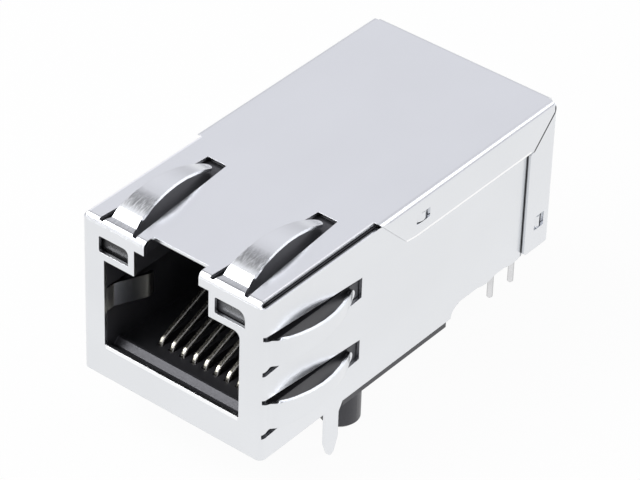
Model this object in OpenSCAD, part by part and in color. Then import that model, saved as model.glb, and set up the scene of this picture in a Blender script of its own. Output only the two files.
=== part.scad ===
// Shielded board jack with a tab-up plug port, two indicator lamps and built-in magnetics.
// Origin: on the board, midway between the two locating pegs. +Z up, the port faces -Y.

/* [Shield] */
// Outer width over the shield's side panels
shield_w = 16.26; // [16.2:0.02:17.2]
// Depth from the front face to the rear flap
shield_d = 32.6; // [32.4:0.1:35]
// Height of the shield's front face
shield_h = 13.4; // [13.3:0.1:14.4]
// Thickness of the sheet metal
sheet_t = 0.25; // [0.2:0.01:0.28]
// Outer radius of the folds
fold_r = 0.5; // [0.4:0.05:0.6]
// Height of the shield's lower edge above the board
shield_lift = 0.57; // [0.5:0.01:0.7]
// Gap between two layers of the folded sheet
lap_gap = 0.04; // [0.03:0.01:0.06]
// Gap between the top panel's edge and the side panel's inner face
seam_gap = 0.12; // [0.08:0.01:0.16]
// Drop of the side panel's upper edge below the top
seam_drop = 0.42; // [0.36:0.02:0.5]
// Height of the flanges that fold down from the top
flange_h = 3.14; // [2.6:0.02:3.6]
// Distance from the front face to the flanges
flange_y = 12.1; // [11.8:0.1:13]
// Length of the ears that fold forward from the rear flap
ear_l = 3.1; // [2.8:0.1:3.4]
// Height of the rear flap's lower edge above the side panel's
ear_rise = 1.05; // [0.8:0.05:1.2]

/* [Port] */
// Width of the port
port_w = 12.17; // [11.9:0.01:12.3]
// Height of the port's lower edge above the shield's
port_low = 2.85; // [2.7:0.05:3]
// Height of the port's shoulders above the shield's lower edge
port_high = 10.15; // [10:0.05:10.25]
// Width of the channel for the plug's latch
channel_w = 6.66; // [6.4:0.02:6.8]
// Height of the channel's shoulders above the shield's lower edge
channel_high = 12.3; // [12.1:0.05:12.5]
// Width of the mouth in the shield's top edge
mouth_w = 4.88; // [4.6:0.02:5.1]
// Depth of the mouth in the top panel
mouth_d = 0.73; // [0.6:0.01:0.9]
// Depth of the plug cavity
cavity_d = 11; // [10.6:0.1:11.4]

/* [Lamps] */
// Width of a lamp window
window_w = 2.66; // [2.4:0.02:2.7]
// Height of a lamp window
window_h = 1.33; // [1.2:0.01:1.4]
// Distance from the side panel's face to a window's centre
window_inset = 2.93; // [2.88:0.01:2.98]
// Height of a window's lower edge above the shield's
window_low = 10.72; // [10.65:0.01:10.8]
// Length of a lamp's body
lamp_l = 6.2; // [5:0.1:7]
// How far a lamp sits behind the shield's face
lamp_back = 0.45; // [0.4:0.05:0.6]

/* [Spring fingers] */
// Distance from the side panel's face to the top fingers' middle
finger_inset = 3.17; // [3.05:0.02:3.23]
// Height of the lower side fingers above the shield's lower edge
finger_low_z = 3.53; // [3.4:0.01:3.8]
// Spacing of the two fingers on a side
finger_pitch = 5.4; // [5.2:0.05:5.6]
// Width of a finger at its root
finger_root_w = 2.8; // [2.6:0.02:2.9]
// Width of a finger where it rises
finger_w = 2.2; // [2:0.02:2.4]
// Width of a finger near its tip
finger_tip_w = 0.9; // [0.7:0.05:1.1]
// Width of the slot at the finger's root
slot_w = 3.36; // [3.2:0.02:3.6]
// Width of the slot at its rear end
slot_end_w = 1.7; // [1.5:0.05:1.9]
// Distance from the front face to the slot's rear end
slot_y = 10.55; // [10.3:0.05:11]
// Length of the straight rise of a top finger
top_rise = 0.3; // [0.22:0.02:0.4]
// Length of the straight rise of a side finger
side_rise = 0.2; // [0.16:0.02:0.36]

/* [Board interface] */
// Distance from the front face to the pegs
peg_y = 10.9; // [10.8:0.05:11.2]
// Distance from the side panel's face to a locating peg's centre
peg_inset = 1.78; // [1.74:0.02:2]
// Diameter of a locating peg
peg_dia = 3; // [2.6:0.05:3.1]
// Length of a peg below the board's top
peg_l = 3.1; // [2.6:0.1:3.4]
// Distance from the front face to the ground legs
leg_y = 7.75; // [7.6:0.05:8]
// Width of a ground leg
leg_w = 1.42; // [1.2:0.02:1.6]
// Length of a ground leg below the board's top
leg_l = 3.6; // [3.2:0.1:3.8]
// Diameter of the solder pins
pin_dia = 0.46; // [0.4:0.01:0.5]
// Length of the pins below the board's top
pin_l = 2.95; // [2.6:0.05:3.1]
// Spacing between the rows of pins
row_pitch = 2.54; // [2.4:0.02:2.6]
// Spacing of the signal pins along a row
pin_pitch = 1.78; // [1.7:0.01:1.8]
// Distance from the pegs to the first row of signal pins
signal_y = 6; // [5.9:0.05:6.1]
// Distance from the side panel's face to the lamp pins
lamp_pin_inset = 2.08; // [2:0.02:2.18]
// Distance from the rear flap to the last lamp pins
lamp_pin_back = 1.16; // [1.1:0.02:1.3]

/* [Contacts] */
// Spacing of the contacts
contact_pitch = 1.016; // [1:0.002:1.03]
// Width of a contact
contact_w = 0.32; // [0.28:0.02:0.4]
// Thickness of a contact
contact_t = 0.3; // [0.24:0.02:0.32]
// Distance from the front face to the contacts' bends
contact_y = 3.1; // [2.9:0.05:3.4]
// Height of the contacts' lower legs above the board
contact_z = 2.15; // [2.1:0.05:2.3]
// Slope of the spring arms
arm_slope = 22; // [18:1:24]

/* [Magnetics] */
// Outer diameter of a ferrite core
core_dia = 3.3; // [3:0.05:3.4]
// Diameter of a core's hole
core_hole = 1.7; // [1.5:0.05:1.8]
// Width of a core
core_w = 1.5; // [1.2:0.05:1.6]
// Thickness of the wire layer on a core
wire_layer = 0.3; // [0.2:0.02:0.32]
// Room between the outer cores and the posts beside them
core_gap = 0.2; // [0.15:0.05:0.4]
// Height of the circuit board above the jack's seat
board_z = 8.4; // [8.2:0.05:8.8]
// Thickness of the circuit board
board_t = 0.8; // [0.6:0.05:1]

/* [Hidden] */
$fn = 48;

// Shield: half widths, and heights above the board
side_x = shield_w / 2;
inner_x = side_x - sheet_t;
lap_x = side_x + lap_gap;
outer_x = lap_x + sheet_t;
top_z = shield_lift + shield_h;
ceiling_z = top_z - sheet_t;
flange_z = top_z - flange_h;
rear_z = shield_lift + ear_rise;
side_end = shield_d - sheet_t - 0.35;
ear_y = shield_d - ear_l;
window_x = side_x - window_inset;
finger_x = side_x - finger_inset;
peg_x = side_x - peg_inset;
lamp_pin_x = side_x - lamp_pin_inset;
miter_gap = 0.12;
ear_top = top_z - fold_r - 0.05;
hem_w = 0.7;
hem_t = 0.12;
lobe_y = [4.2, 7.4];
lobe_r = 3;
lobe_drop = 0.25;

// Port, heights above the board
port_r = 0.55;
window_r = 0.15;
port_z = shield_lift + port_low;
shoulder_z = shield_lift + port_high;
channel_z = shield_lift + channel_high;
lamp_z = shield_lift + window_low;
lamp_mid_z = lamp_z + window_h / 2;

// Spring fingers
flat_l = 0.75;
crease_r = 0.3;
rise_angle = 45;
crown_r = 1.2;
crown_angle = 22.5;
back_r = 9.2;
back_angle = 48;
tail_l = 0.4;
tip_r = 1.2;
tip_angle = 30;
tip_y = slot_y - 0.8;

// Ground leaves inside the port
leaf_w = 1.95;
leaf_z = shield_lift + 6.63;
leaf_r = 0.35;
leaf_root_l = 0.55;
leaf_turn = 24;
leaf_l = 2.5;

// Latches that hold the lapped sheet
barb_h = 0.28;
barb_y = ear_y + 1.05;
barb_z = shield_lift + 2.8;
dimple_y = flange_y + 4;
dimple_z = top_z - 1.75;
dimple_l = 1.5;

// Housing
fit = 0.05;
wall_x = inner_x - fit;
front_y = sheet_t + fit;
roof_z = ceiling_z - fit;
floor_z = 2.95;
ledge_z = port_z - 0.1;
ledge_y = 1.65;
lip_y = 1;
lip = 0.42;
rail_x = side_x - 0.1;
relief_t = 0.6;
base_z = 0.55;
magnetics_l = 11.6;
housing_end = shield_d - magnetics_l;
insert_end = cavity_d + 2.6;
insert_x = wall_x - 2.23;
insert_z = 1.05;
comb_back = 0.7;
bay_x = wall_x - 1.13;
lamp_wall = 0.13;
lamp_w = window_w + 2 * lamp_wall;
lamp_h = window_h + 2 * lamp_wall;
slit_w = contact_w + 0.2;

// Magnetics case
case_x = bay_x - fit;
case_y = insert_end + 0.1;
case_end = shield_d - sheet_t - 0.2;
case_z = 1.5;
case_top = roof_z - 0.6;
case_wall = 0.8;
shoulder_y = housing_end + 0.1;
case_floor = case_z + case_wall;
post_x = lamp_pin_x - 0.75;
post_y = case_end - row_pitch - 1.35;
bed = 0.05;
wound_r = core_dia / 2 + wire_layer;
core_z = case_floor + bed + wound_r;
core_pitch = (post_x - core_w / 2 - wire_layer - core_gap) / 1.5;
choke_y = case_end - case_wall - 0.1 - wound_r;
transformer_y = choke_y - 2 * wound_r - 0.4;
transformer_sweep = 320;
choke_sweep = 260;
board_top = board_z + board_t;
board_x = case_x - case_wall - 0.1;
board_y = case_y + case_wall + 0.1;
board_end = post_y - 0.1;
row_y = [peg_y + signal_y, peg_y + signal_y + row_pitch];
resistor_size = [0.85, 1.6, 0.5];
capacitor_size = [4.6, 2, 1.6];
capacitor_y = board_end - capacitor_size[1] / 2 - 1;
resistor_y = (row_y[1] + capacitor_y - capacitor_size[1] / 2) / 2;
lamp_row_y = [shield_d - lamp_pin_back - row_pitch, shield_d - lamp_pin_back];
lead_z = case_top + 0.05;
lead_t = pin_dia;
lead_pitch = 1.27;

// ---- Placing and profiles ----

// Moves what is drawn from the front face to the jack's origin
module seat() translate([0, -peg_y, 0]) children();

// Extrudes a profile, drawn as (depth, height), across the jack
module across(w) rotate([90, 0, 90]) translate([0, 0, -w / 2]) linear_extrude(w) children();

// Extrudes a profile, drawn as (width, height), along the jack
module along(y0, y1) translate([0, y1, 0]) rotate([90, 0, 0]) linear_extrude(y1 - y0) children();

// A box given by two corners
module block(a, b) translate(a) cube(b - a);

// A panel with its two upper corners rounded
module arch(w, h, r) {
    translate([-w / 2, 0]) square([w, h - r]);
    translate([-w / 2 + r, 0]) square([w - 2 * r, h]);
    for (x = [-1, 1] * (w / 2 - r)) translate([x, h - r]) circle(r);
}

// The sheet that runs round an arch
module folded(w, h) difference() {
    arch(w, h, fold_r);
    translate([0, -1]) arch(w - 2 * sheet_t, h - sheet_t + 1, fold_r - sheet_t);
}

// A strip of sheet laid from the origin along +Y, its outer face at z = 0
module straight(w, l) translate([-w / 2, 0, -sheet_t]) cube([w, l, sheet_t]);

// The strip turned down through an angle, round a centre below its outer face
module bend_down(w, r, a) translate([0, 0, -r]) rotate([0, -90, 0])
    rotate_extrude(angle = a) translate([r - sheet_t, -w / 2]) square([sheet_t, w]);

// The strip turned up through an angle, round a centre above it
module bend_up(w, r, a) translate([0, 0, r]) rotate([0, 90, 0])
    rotate_extrude(angle = a) translate([r, -w / 2]) square([sheet_t, w]);

// The place and heading at the end of a strip or bend
module after_straight(l) translate([0, l, 0]) children();
module after_down(r, a) translate([0, r * sin(a), -r * (1 - cos(a))]) rotate([-a, 0, 0]) children();
module after_up(r, a) translate([0, r * sin(a), r * (1 - cos(a))]) rotate([a, 0, 0]) children();

// ---- Shield ----

module side_outline() {
    step_y = housing_end + 0.2;
    difference() {
        translate([-1, shield_lift]) square([side_end + 1, top_z - seam_drop - shield_lift]);
        translate([step_y + 0.9, shield_lift - 1]) square([side_end, 1 + ear_rise - 0.05]);
        translate([step_y + 0.9, shield_lift]) circle(0.9);
    }
    // The rear edge hangs a little lower in two shallow lobes
    for (y = lobe_y) translate([step_y + y, rear_z + lobe_r - lobe_drop]) circle(lobe_r);
    ground_leg();
}

module ground_leg() {
    tip = -leg_l;
    half = leg_w / 2;
    translate([leg_y, tip + half / 2]) circle(half / 2);
    translate([leg_y, 0]) polygon([
        [-half, shield_lift + 0.3], [-half, tip + 1.25], [-half * 0.46, tip + 0.22],
        [half * 0.46, tip + 0.22], [half, tip + 1.25], [half, shield_lift - 0.7],
        [half + 0.4, shield_lift], [half + 0.4, shield_lift + 0.3]]);
}

module flange_outline() polygon([
    [flange_y, top_z + 1], [flange_y, top_z], [flange_y + flange_h, flange_z],
    [shield_d - flange_h + fold_r - miter_gap, flange_z],
    [shield_d - miter_gap, top_z - fold_r], [shield_d, top_z + 1]]);

module ear_outline() polygon([
    [ear_y, rear_z + 0.2], [ear_y + 0.2, rear_z], [shield_d + 1, rear_z], [shield_d + 1, ear_top],
    [shield_d, ear_top], [shield_d - flange_h + fold_r + 0.02, flange_z + 0.02],
    [ear_y + 0.25, flange_z - 0.02], [ear_y, flange_z - 0.25]]);

// Front face and side panels, folded round the two upright front corners
module front_and_sides() intersection() {
    translate([0, side_end, -leg_l]) linear_extrude(leg_l + top_z)
        rotate(180) folded(shield_w, side_end);
    across(shield_w + 2) side_outline();
}

// Front face, top panel and rear flap, folded round the two level edges
module front_top_rear() intersection() {
    across(shield_w) translate([shield_d / 2, 0]) folded(shield_d, top_z);
    along(-1, shield_d + 1) {
        translate([seam_gap - inner_x, top_z - fold_r]) square([2 * (inner_x - seam_gap), 2 * fold_r]);
        translate([-(side_x - fold_r), rear_z]) square([2 * (side_x - fold_r), top_z - rear_z]);
    }
}

// Flanges that fold down from the top panel over the side panels
module flanges() difference() {
    intersection() {
        along(flange_y, shield_d - fold_r) folded(2 * outer_x, top_z);
        across(2 * outer_x + 2) flange_outline();
    }
    for (s = [0, 1]) mirror([s, 0, 0]) hem_cut();
}

// The sloping front edge of a flange is coined thinner along a crease
module hem_cut() translate([outer_x, flange_y, top_z]) rotate([-45, 0, 0]) along(-1, 2 * flange_h)
    polygon([[1, hem_w], [0, hem_w], [-hem_t, 0], [-hem_t, -1], [1, -1]]);

// Rear corners, with the ears that fold forward over the side panels
module ears() intersection() {
    translate([0, ear_y, 0]) linear_extrude(top_z) folded(2 * outer_x, ear_l);
    across(2 * outer_x + 2) ear_outline();
}

// Where a finger leaves the fold it narrows fast, then it tapers to a round tip
module finger_outline() {
    translate([0, tip_y - finger_tip_w / 2]) circle(finger_tip_w / 2);
    finger_root();
    polygon([[-finger_w / 2, flat_l], [finger_w / 2, flat_l],
        [finger_tip_w / 2, tip_y - finger_tip_w / 2], [-finger_tip_w / 2, tip_y - finger_tip_w / 2]]);
}

module finger_root() polygon([[-finger_root_w / 2, 0], [finger_root_w / 2, 0],
    [finger_w / 2, flat_l], [-finger_w / 2, flat_l]]);

// A spring finger on a panel's outer face: it rises at a crease, bows over and curls at its tip
module finger(rise) intersection() {
    translate([0, 0, -1]) linear_extrude(4) finger_outline();
    translate([0, flat_l - 0.01, 0]) {
        bend_up(finger_root_w, crease_r, rise_angle);
        after_up(crease_r, rise_angle) {
            straight(finger_root_w, rise);
            after_straight(rise) bow();
        }
    }
}

module bow() {
    bend_down(finger_w, crown_r, crown_angle);
    after_down(crown_r, crown_angle) {
        bend_down(finger_w, back_r, back_angle);
        after_down(back_r, back_angle) {
            straight(finger_w, tail_l);
            after_straight(tail_l) bend_up(finger_w, tip_r, tip_angle);
        }
    }
}

// The slot that frees a finger: two slits beside its flat root, then the full width
module finger_slot() translate([0, 0, -fold_r - 0.05]) linear_extrude(2 * fold_r) difference() {
    polygon([[-slot_w / 2, 0.16], [slot_w / 2, 0.16], [slot_end_w / 2, slot_y], [-slot_end_w / 2, slot_y]]);
    finger_root();
}

module on_top() for (x = [-1, 1] * finger_x) translate([x, 0, top_z]) children();

module on_sides() for (s = [-1, 1], n = [0, 1])
    translate([s * side_x, 0, shield_lift + finger_low_z + n * finger_pitch])
        rotate([0, s * 90, 0]) children();

// A leaf folded in from the port's edge, which grounds the plug
module ground_leaf() translate([-port_w / 2 - leaf_r, 0, leaf_z]) rotate([90, 90, 0]) {
    bend_down(leaf_w, leaf_r, 90);
    after_down(leaf_r, 90) {
        straight(leaf_w, leaf_root_l);
        after_straight(leaf_root_l) {
            bend_up(leaf_w, crease_r, leaf_turn);
            after_up(crease_r, leaf_turn) {
                straight(leaf_w, leaf_l);
                after_straight(leaf_l) bend_down(leaf_w, 0.9, 40);
            }
        }
    }
}

// What rounding takes off an upper right corner, drawn from the round's centre
module off_corner(r) difference() {
    square(r + 0.1);
    circle(r);
}

module port_cut() along(-1, 1) {
    difference() {
        translate([-port_w / 2, port_z]) square([port_w, shoulder_z - port_z]);
        translate([port_w / 2 - port_r, shoulder_z - port_r]) off_corner(port_r);
    }
    translate([-channel_w / 2, port_z]) square([channel_w, channel_z - port_z]);
    translate([-mouth_w / 2, port_z]) square([mouth_w, shield_h]);
}

module mouth_cut() translate([0, -1, channel_z]) linear_extrude(shield_h) {
    corner = 0.4;
    translate([-mouth_w / 2, 0]) square([mouth_w, 1 + mouth_d - corner]);
    translate([-mouth_w / 2 + corner, 0]) square([mouth_w - 2 * corner, 1 + mouth_d]);
    for (x = [-1, 1] * (mouth_w / 2 - corner)) translate([x, 1 + mouth_d - corner]) circle(corner);
}

// A lamp window: its left corners are eased, and the upper right one is round
module window_outline(corner) difference() {
    square([window_w, window_h]);
    translate([window_w - corner, window_h - corner]) off_corner(corner);
    translate([window_r, window_h - window_r]) rotate(90) off_corner(window_r);
    translate([window_r, window_r]) rotate(180) off_corner(window_r);
}

module window_cuts() along(-1, sheet_t + 0.5) {
    translate([-window_x - window_w / 2, lamp_z]) window_outline(0.42);
    translate([window_x - window_w / 2, lamp_z]) window_outline(0.68);
}

module latch_cuts() {
    for (s = [-1, 1]) translate([s * (lap_x + 0.5), 0, 0]) {
        translate([-0.5, barb_y, barb_z]) cube([1, 1.12, 1.2]);
        translate([-0.5, dimple_y, dimple_z - 0.4]) cube([1, dimple_l, 0.8]);
    }
}

// Barbs lanced from the side panels, which stand in the windows of the ears and flanges
module latches() for (s = [0, 1]) mirror([s, 0, 0]) {
    translate([0, 0, barb_z + 0.15]) linear_extrude(0.9) polygon([
        [inner_x, barb_y + 0.1], [side_x, barb_y + 0.1], [side_x + barb_h, barb_y + 0.45],
        [side_x + barb_h, barb_y + 0.6], [inner_x, barb_y + 0.6]]);
    intersection() {
        translate([side_x - 0.72, dimple_y + dimple_l / 2, dimple_z - 0.34]) cylinder(r = 1, h = 0.68);
        block([inner_x, dimple_y - 1, 0], [outer_x + 1, dimple_y + dimple_l + 1, top_z]);
    }
}

module shield() color([0.84, 0.85, 0.87]) seat() {
    difference() {
        union() {
            front_and_sides();
            front_top_rear();
            flanges();
            ears();
        }
        port_cut();
        mouth_cut();
        window_cuts();
        latch_cuts();
        on_top() finger_slot();
        on_sides() finger_slot();
    }
    on_top() finger(top_rise);
    on_sides() finger(side_rise);
    ground_leaf();
    mirror([1, 0, 0]) ground_leaf();
    latches();
}

// ---- Housing ----

module front_housing() color([0.08, 0.08, 0.09]) seat() {
    difference() {
        housing_block();
        plug_cavity();
        lamp_pockets();
        leaf_pockets();
        // Bays for the contact insert and for the magnetics case
        block([-insert_x - fit, cavity_d - 0.01, insert_z - fit],
            [insert_x + fit, insert_end + 0.01, shoulder_z + 0.5]);
        block([-bay_x, insert_end, -1], [bay_x, housing_end + 1, roof_z + 1]);
        finger_relief();
        lead_grooves();
    }
    standoffs();
    for (x = [-1, 1] * peg_x) translate([x, peg_y, 0]) peg();
}

// The housing's outer form, its edges rounded where the shield folds round them
module housing_block() intersection() {
    translate([0, housing_end, base_z]) linear_extrude(roof_z - base_z)
        rotate(180) arch(2 * wall_x, housing_end - front_y, fold_r);
    across(shield_w) translate([front_y + housing_end, 0]) arch(2 * housing_end, roof_z, fold_r);
}

module plug_cavity() {
    half = port_w / 2 + 0.01;
    // The plug's own space, over a ledge at the mouth and a lower floor behind it
    block([-half, -1, ledge_z], [half, cavity_d, shoulder_z + fit]);
    block([-half, ledge_y, floor_z], [half, cavity_d, shoulder_z]);
    block([-channel_w / 2 - fit, -1, ledge_z], [channel_w / 2 + fit, cavity_d, channel_z + fit]);
    block([-mouth_w / 2 - fit, -1, ledge_z], [mouth_w / 2 + fit, cavity_d - 3, roof_z + 1]);
    // A sloping lip leads the plug onto the ledge
    across(2 * half) polygon([[-1, ledge_z - lip], [lip_y, ledge_z - lip], [lip_y + lip, ledge_z],
        [lip_y + lip, shoulder_z], [-1, shoulder_z]]);
    for (i = [1 : 8]) contact_slit(i);
}

module contact_slit(i) block(
    [contact_x(i) - slit_w / 2, contact_y - 0.25, contact_z - contact_t / 2 - 0.05],
    [contact_x(i) + slit_w / 2, insert_end + 0.01, shoulder_z - 2]);

module lamp_pockets() for (s = [-1, 1]) translate([s * window_x, -1, lamp_mid_z])
    block([-lamp_w / 2 - fit, 0, -lamp_h / 2 - fit], [lamp_w / 2 + fit, cavity_d + 1, lamp_h / 2 + fit]);

module leaf_pockets() for (s = [-1, 1]) translate([s * port_w / 2, 0, leaf_z])
    block([-leaf_r - 0.1, -1, -leaf_w / 2 - 0.12], [leaf_r + 0.1, 2.2, leaf_w / 2 + 0.12]);

// Shallow recesses under the top fingers, and a groove behind the upper half of each side finger
module finger_relief() {
    for (x = [-1, 1] * finger_x)
        block([x - slot_w / 2, front_y - 1, roof_z - 0.1], [x + slot_w / 2, slot_y + 0.3, roof_z + 1]);
    for (s = [0, 1], n = [0, 1]) mirror([s, 0, 0])
        translate([wall_x, 0, shield_lift + finger_low_z + n * finger_pitch])
            block([-relief_t, 0.8, 0.5], [1, slot_y + 0.3, slot_w / 2 + 0.1]);
}

// Grooves behind the fingers' slots, where the lamps' leads rise to the roof
module lead_grooves() for (s = [-1, 1]) translate([s * window_x, 0, 0])
    block([-(lead_pitch + lead_t) / 2 - fit, slot_y + 0.4, lamp_mid_z - lead_t / 2 - fit],
        [(lead_pitch + lead_t) / 2 + fit, insert_end + 1, roof_z + 1]);

// The parts of the underside that stand on the board
module standoffs() {
    rail_y = peg_y - peg_dia / 2 - 0.4;
    for (s = [0, 1]) mirror([s, 0, 0]) {
        block([bay_x, rail_y, 0], [wall_x, housing_end - 0.2, base_z + 0.1]);
        block([bay_x, rail_y, 0], [rail_x, housing_end - 0.2, shield_lift - fit]);
    }
    block([-wall_x, rail_y, 0], [wall_x, peg_y + peg_dia / 2, base_z + 0.1]);
}

module peg() {
    tip = 0.35;
    translate([0, 0, tip - peg_l]) cylinder(d = peg_dia, h = peg_l - tip);
    translate([0, 0, -peg_l]) cylinder(d1 = peg_dia - 2 * tip, d2 = peg_dia, h = tip);
}

// ---- Contacts ----

function contact_x(i) = (i - 4.5) * contact_pitch;

// The block behind the cavity, slit into a comb that carries the contacts
module contact_insert() color([0.1, 0.1, 0.11]) seat() difference() {
    block([-insert_x, cavity_d + fit, insert_z], [insert_x, insert_end - fit, board_top - 0.05]);
    for (i = [1 : 8]) block(
        [contact_x(i) - slit_w / 2, cavity_d - 1, contact_z - contact_t / 2 - 0.05],
        [contact_x(i) + slit_w / 2, insert_end - comb_back, board_top + 1]);
}

// One contact: lower leg, front bend, spring arm, riser and the foot on the circuit board
module contact(i) color([0.86, 0.74, 0.45]) seat() translate([contact_x(i), 0, 0]) {
    bend_r = (port_z - 0.1 - contact_z) / 2 + contact_t / 4;
    riser_y = insert_end - 1.1;
    turn = 180 - arm_slope;
    arm_l = (cavity_d - contact_y + 0.1) / cos(arm_slope) - bend_r;
    foot_z = board_top + contact_t / 2 + 0.02;
    translate([0, contact_y + bend_r, contact_z]) {
        wire(riser_y - contact_y - bend_r + contact_t / 2);
        translate([0, 0, bend_r]) rotate([0, 90, 0]) mirror([0, 1, 0]) rotate_extrude(angle = turn)
            translate([bend_r, 0]) square([contact_t, contact_w], center = true);
        translate([0, 0, bend_r]) rotate([arm_slope, 0, 0]) translate([0, 0, bend_r]) wire(arm_l);
    }
    block([-contact_w / 2, riser_y - contact_t / 2, contact_z - contact_t / 2],
        [contact_w / 2, riser_y + contact_t / 2, foot_z + contact_t / 2]);
    translate([0, riser_y, foot_z]) wire(board_y + 1.4 - riser_y);
}

// A straight length of contact wire along +Y
module wire(l) translate([-contact_w / 2, 0, -contact_t / 2]) cube([contact_w, l, contact_t]);

// ---- Lamps ----

module led(s) color([0.42, 0.43, 0.44]) seat() translate([s * window_x, lamp_back, lamp_mid_z])
    block([-lamp_w / 2, 0, -lamp_h / 2], [lamp_w / 2, lamp_l, lamp_h / 2]);

// Two leads run back over the magnetics case to the lamp's own pins
module led_leads(s) color([0.8, 0.8, 0.82]) seat() for (n = [0, 1]) {
    x = s * (window_x + (n - 0.5) * lead_pitch);
    start = lamp_back + lamp_l;
    rise_y = slot_y + 0.9 + n * 0.8;
    low = lamp_mid_z;
    end_x = s * lamp_pin_x;
    end_y = lamp_row_y[1 - n] + lead_t / 2;
    block([x - lead_t / 2, start, low - lead_t / 2], [x + lead_t / 2, rise_y, low + lead_t / 2]);
    block([x - lead_t / 2, rise_y - lead_t, low - lead_t / 2], [x + lead_t / 2, rise_y, lead_z + lead_t]);
    block([x - lead_t / 2, rise_y - lead_t, lead_z],
        [x + lead_t / 2, end_y, lead_z + lead_t]);
    block([min(x, end_x) - lead_t / 2, end_y - lead_t, lead_z],
        [max(x, end_x) + lead_t / 2, end_y, lead_z + lead_t]);
}

module round_pin(x, y, top) color([0.8, 0.8, 0.82]) seat() translate([x, y, -pin_l]) {
    nose = pin_dia / 4;
    cylinder(d1 = pin_dia - 2 * nose, d2 = pin_dia, h = nose);
    translate([0, 0, nose]) cylinder(d = pin_dia, h = top + pin_l - nose);
}

// Lamp pins 1 and 2 are on the left, 3 and 4 on the right
module led_pin(i) round_pin((i < 3 ? -1 : 1) * lamp_pin_x, lamp_row_y[(i - 1) % 2], lead_z);

module signal_pin(i) round_pin(signal_x(i), row_y[i > 6 ? 1 : 0], board_top + 0.3);

function signal_x(i) = ((i - 1) % 6 - 2.5) * pin_pitch;

// ---- Magnetics ----

module magnetics_case() color([0.09, 0.09, 0.1]) seat() difference() {
    union() {
        block([-case_x, case_y, case_z], [case_x, case_end, case_top]);
        block([-wall_x, shoulder_y, case_z], [wall_x, case_end, case_top]);
    }
    difference() {
        union() {
            block([-board_x - 0.1, case_y - 1, case_floor],
                [board_x + 0.1, case_end - case_wall, case_top + 1]);
            block([-wall_x + case_wall, shoulder_y + case_wall, case_floor],
                [wall_x - case_wall, case_end - case_wall, case_top + 1]);
        }
        // Corner posts round the lamp pins, and ledges under the circuit board
        for (s = [0, 1]) mirror([s, 0, 0]) {
            block([post_x, post_y, 0], [wall_x, case_end, case_top]);
            block([board_x - 0.7, case_y, 0], [case_x, shoulder_y + case_wall, board_z - 0.05]);
        }
    }
    pin_hole = pin_dia + 0.1;
    for (x = [-1, 1] * lamp_pin_x, y = lamp_row_y)
        translate([x, y, 0]) cylinder(d = pin_hole, h = case_top + 1);
    for (i = [1 : 12])
        translate([signal_x(i), row_y[i > 6 ? 1 : 0], 0]) cylinder(d = pin_hole, h = case_floor + 1);
}

module circuit_board() color([0.1, 0.35, 0.2]) seat() difference() {
    block([-board_x, board_y, board_z], [board_x, board_end, board_top]);
    for (i = [1 : 12])
        translate([signal_x(i), row_y[i > 6 ? 1 : 0], board_z - 1])
            cylinder(d = pin_dia + 0.1, h = board_t + 2);
}

// A core's place: the four transformers stand in front of the four chokes
module at_core(i, y) translate([(i - 2.5) * core_pitch, y, core_z]) rotate([0, 90, 0]) children();

module core(i, y) color([0.25, 0.24, 0.24]) seat() at_core(i, y) difference() {
    cylinder(d = core_dia, h = core_w, center = true);
    cylinder(d = core_hole, h = core_w + 1, center = true);
}

// The layer of wire wound round a core's section, open over part of the ring
module winding(i, y, sweep) color([0.72, 0.38, 0.2]) seat() at_core(i, y)
    rotate(90 - sweep / 2) rotate_extrude(angle = sweep) difference() {
        translate([core_hole / 2 - wire_layer, -core_w / 2 - wire_layer])
            square([(core_dia - core_hole) / 2 + 2 * wire_layer, core_w + 2 * wire_layer]);
        translate([core_hole / 2, -core_w / 2]) square([(core_dia - core_hole) / 2, core_w]);
    }

module resistor(i) color([0.12, 0.12, 0.13]) seat()
    translate([(i - 2.5) * 2.2, resistor_y, board_top]) chip(resistor_size);

module capacitor() color([0.62, 0.5, 0.36]) seat()
    translate([0, capacitor_y, board_top]) chip(capacitor_size);

// A chip standing just clear of the board
module chip(size) translate([-size[0] / 2, -size[1] / 2, 0.01]) cube(size);

shield();
front_housing();
contact_insert();
magnetics_case();
circuit_board();
led(-1);  // led_left
led(1);  // led_right
led_leads(-1);  // led_left_leads
led_leads(1);  // led_right_leads
for (i = [1 : 8]) contact(i);
for (i = [1 : 4]) led_pin(i);
for (i = [1 : 12]) signal_pin(i);
for (i = [1 : 4]) core(i, transformer_y);
for (i = [1 : 4]) winding(i, transformer_y, transformer_sweep);
for (i = [1 : 4]) core(i, choke_y);
for (i = [1 : 4]) winding(i, choke_y, choke_sweep);
for (i = [1 : 4]) resistor(i);
capacitor();
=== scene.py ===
"""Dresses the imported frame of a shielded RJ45 board jack in its finishes and sets its studio."""

import math

import bmesh
import bpy
from bpy.props import FloatProperty, FloatVectorProperty, PointerProperty
from mathutils import Matrix, Vector


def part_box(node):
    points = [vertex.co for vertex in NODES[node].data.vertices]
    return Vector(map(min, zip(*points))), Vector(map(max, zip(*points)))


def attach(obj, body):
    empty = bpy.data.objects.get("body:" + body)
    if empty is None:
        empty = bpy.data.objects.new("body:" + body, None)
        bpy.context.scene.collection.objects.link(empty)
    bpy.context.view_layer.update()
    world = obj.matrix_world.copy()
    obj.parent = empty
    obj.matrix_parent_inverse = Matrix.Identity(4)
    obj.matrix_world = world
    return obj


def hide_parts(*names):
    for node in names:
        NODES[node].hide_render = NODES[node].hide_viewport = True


bl_info = {
    "name": "RJ45 board jack",
    "version": (1, 0, 0),
    "blender": (4, 5, 0),
    "location": "View3D > Sidebar > Board jack",
    "description": "Finishes, fine edges, lens and winding detail and a studio for a shielded board jack",
    "category": "Object",
}

MM = 0.001

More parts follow.
